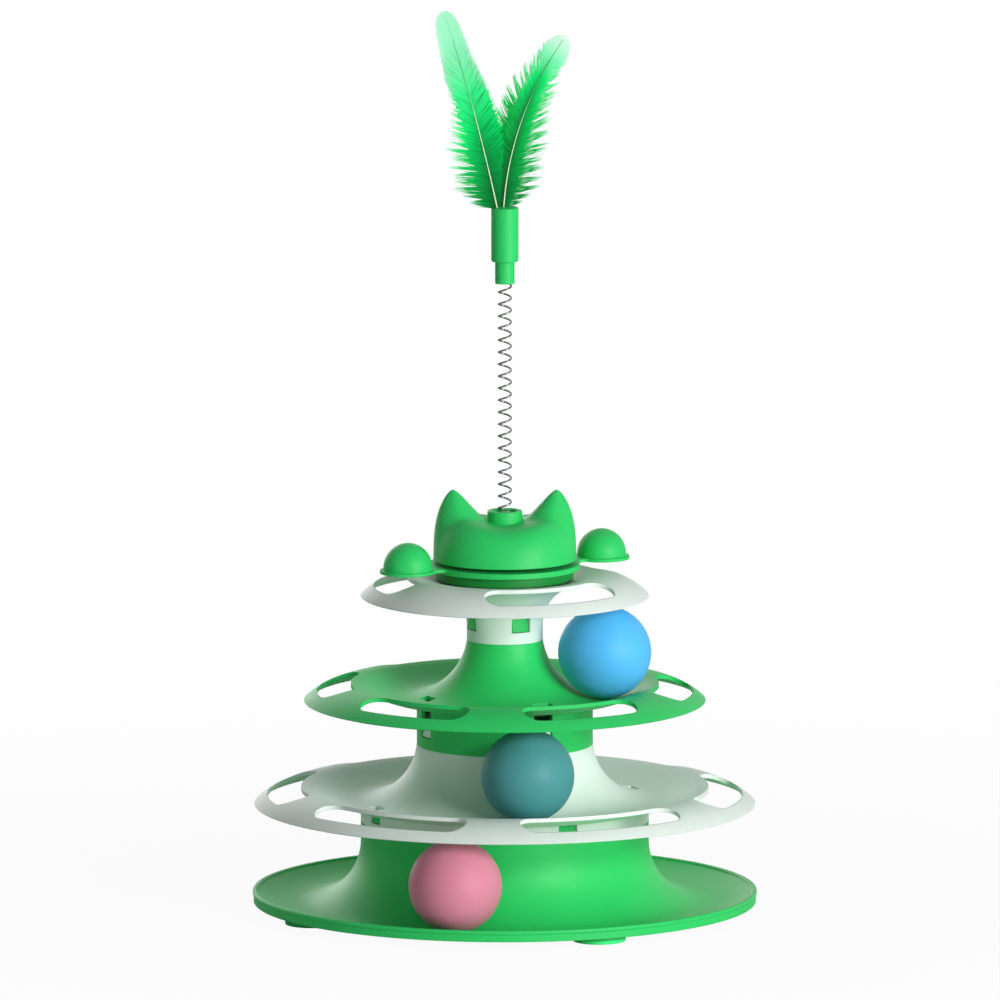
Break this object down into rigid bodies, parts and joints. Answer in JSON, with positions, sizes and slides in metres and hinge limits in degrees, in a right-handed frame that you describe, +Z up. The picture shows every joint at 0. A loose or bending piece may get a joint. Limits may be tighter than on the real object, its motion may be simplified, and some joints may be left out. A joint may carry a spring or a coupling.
{
  "type": "cat ball track toy",
  "caption": "Stacked round ball track tower for cats, with trapped rolling balls, a spinner, an eared cap and a feather wand on a spring.",
  "frame": {"origin": "on the floor, under the middle of the tower", "axes": "+Z up the tower's axis, front towards -Y, +X to the right"},
  "size_m": [0.247, 0.247, 0.4461],
  "materials": {
    "green_plastic": "satin moulded polypropylene",
    "white_plastic": "satin moulded polypropylene",
    "green_rubber": "matt",
    "spring_steel": "bright drawn wire",
    "feather": "dyed feather",
    "pink_plastic": "satin",
    "teal_plastic": "satin",
    "blue_plastic": "satin"
  },
  "bodies": {
    "tower": {"base_tray": "green_plastic", "foot_front_right": "green_rubber", "foot_rear_right": "green_rubber", "foot_rear_left": "green_rubber", "foot_front_left": "green_rubber", "lower_tier": "white_plastic", "middle_tier": "green_plastic", "top_tier": "white_plastic", "cat_ear_cap": "green_plastic", "spring_plug": "green_plastic"},
    "ball_pink": {"ball_pink": "pink_plastic"},
    "ball_teal": {"ball_teal": "teal_plastic"},
    "ball_blue": {"ball_blue": "blue_plastic"},
    "spinner": {"spinner": "green_plastic"},
    "spring": {"spring": "spring_steel"},
    "teaser": {"spring_socket": "green_plastic", "feather_sleeve": "green_plastic", "feather_left": "feather", "feather_right": "feather"}
  },
  "joints": [
    {"name": "pink_ball_orbit", "type": "hinge", "parent": "tower", "child": "ball_pink", "pos_m": [0, 0, 0.0275], "axis": [0, 0, 1], "continuous": true},
    {"name": "teal_ball_orbit", "type": "hinge", "parent": "tower", "child": "ball_teal", "pos_m": [0, 0, 0.0778], "axis": [0, 0, 1], "continuous": true},
    {"name": "blue_ball_orbit", "type": "hinge", "parent": "tower", "child": "ball_blue", "pos_m": [0, 0, 0.1291], "axis": [0, 0, 1], "continuous": true},
    {"name": "spinner_spin", "type": "hinge", "parent": "tower", "child": "spinner", "pos_m": [0, 0, 0.17], "axis": [0, 0, 1], "continuous": true},
    {"name": "wand_sway", "type": "hinge", "parent": "tower", "child": "spring", "pos_m": [0, 0, 0.2255], "axis": [0, 1, 0], "range_deg": [-40, 40], "stiffness_Nm_per_rad": 0.04, "deforming": ["spring"]},
    {"name": "wand_nod", "type": "hinge", "parent": "spring", "child": "teaser", "pos_m": [0, 0, 0.2817], "axis": [1, 0, 0], "range_deg": [-40, 40], "stiffness_Nm_per_rad": 0.04, "deforming": ["spring"]}
  ]
}
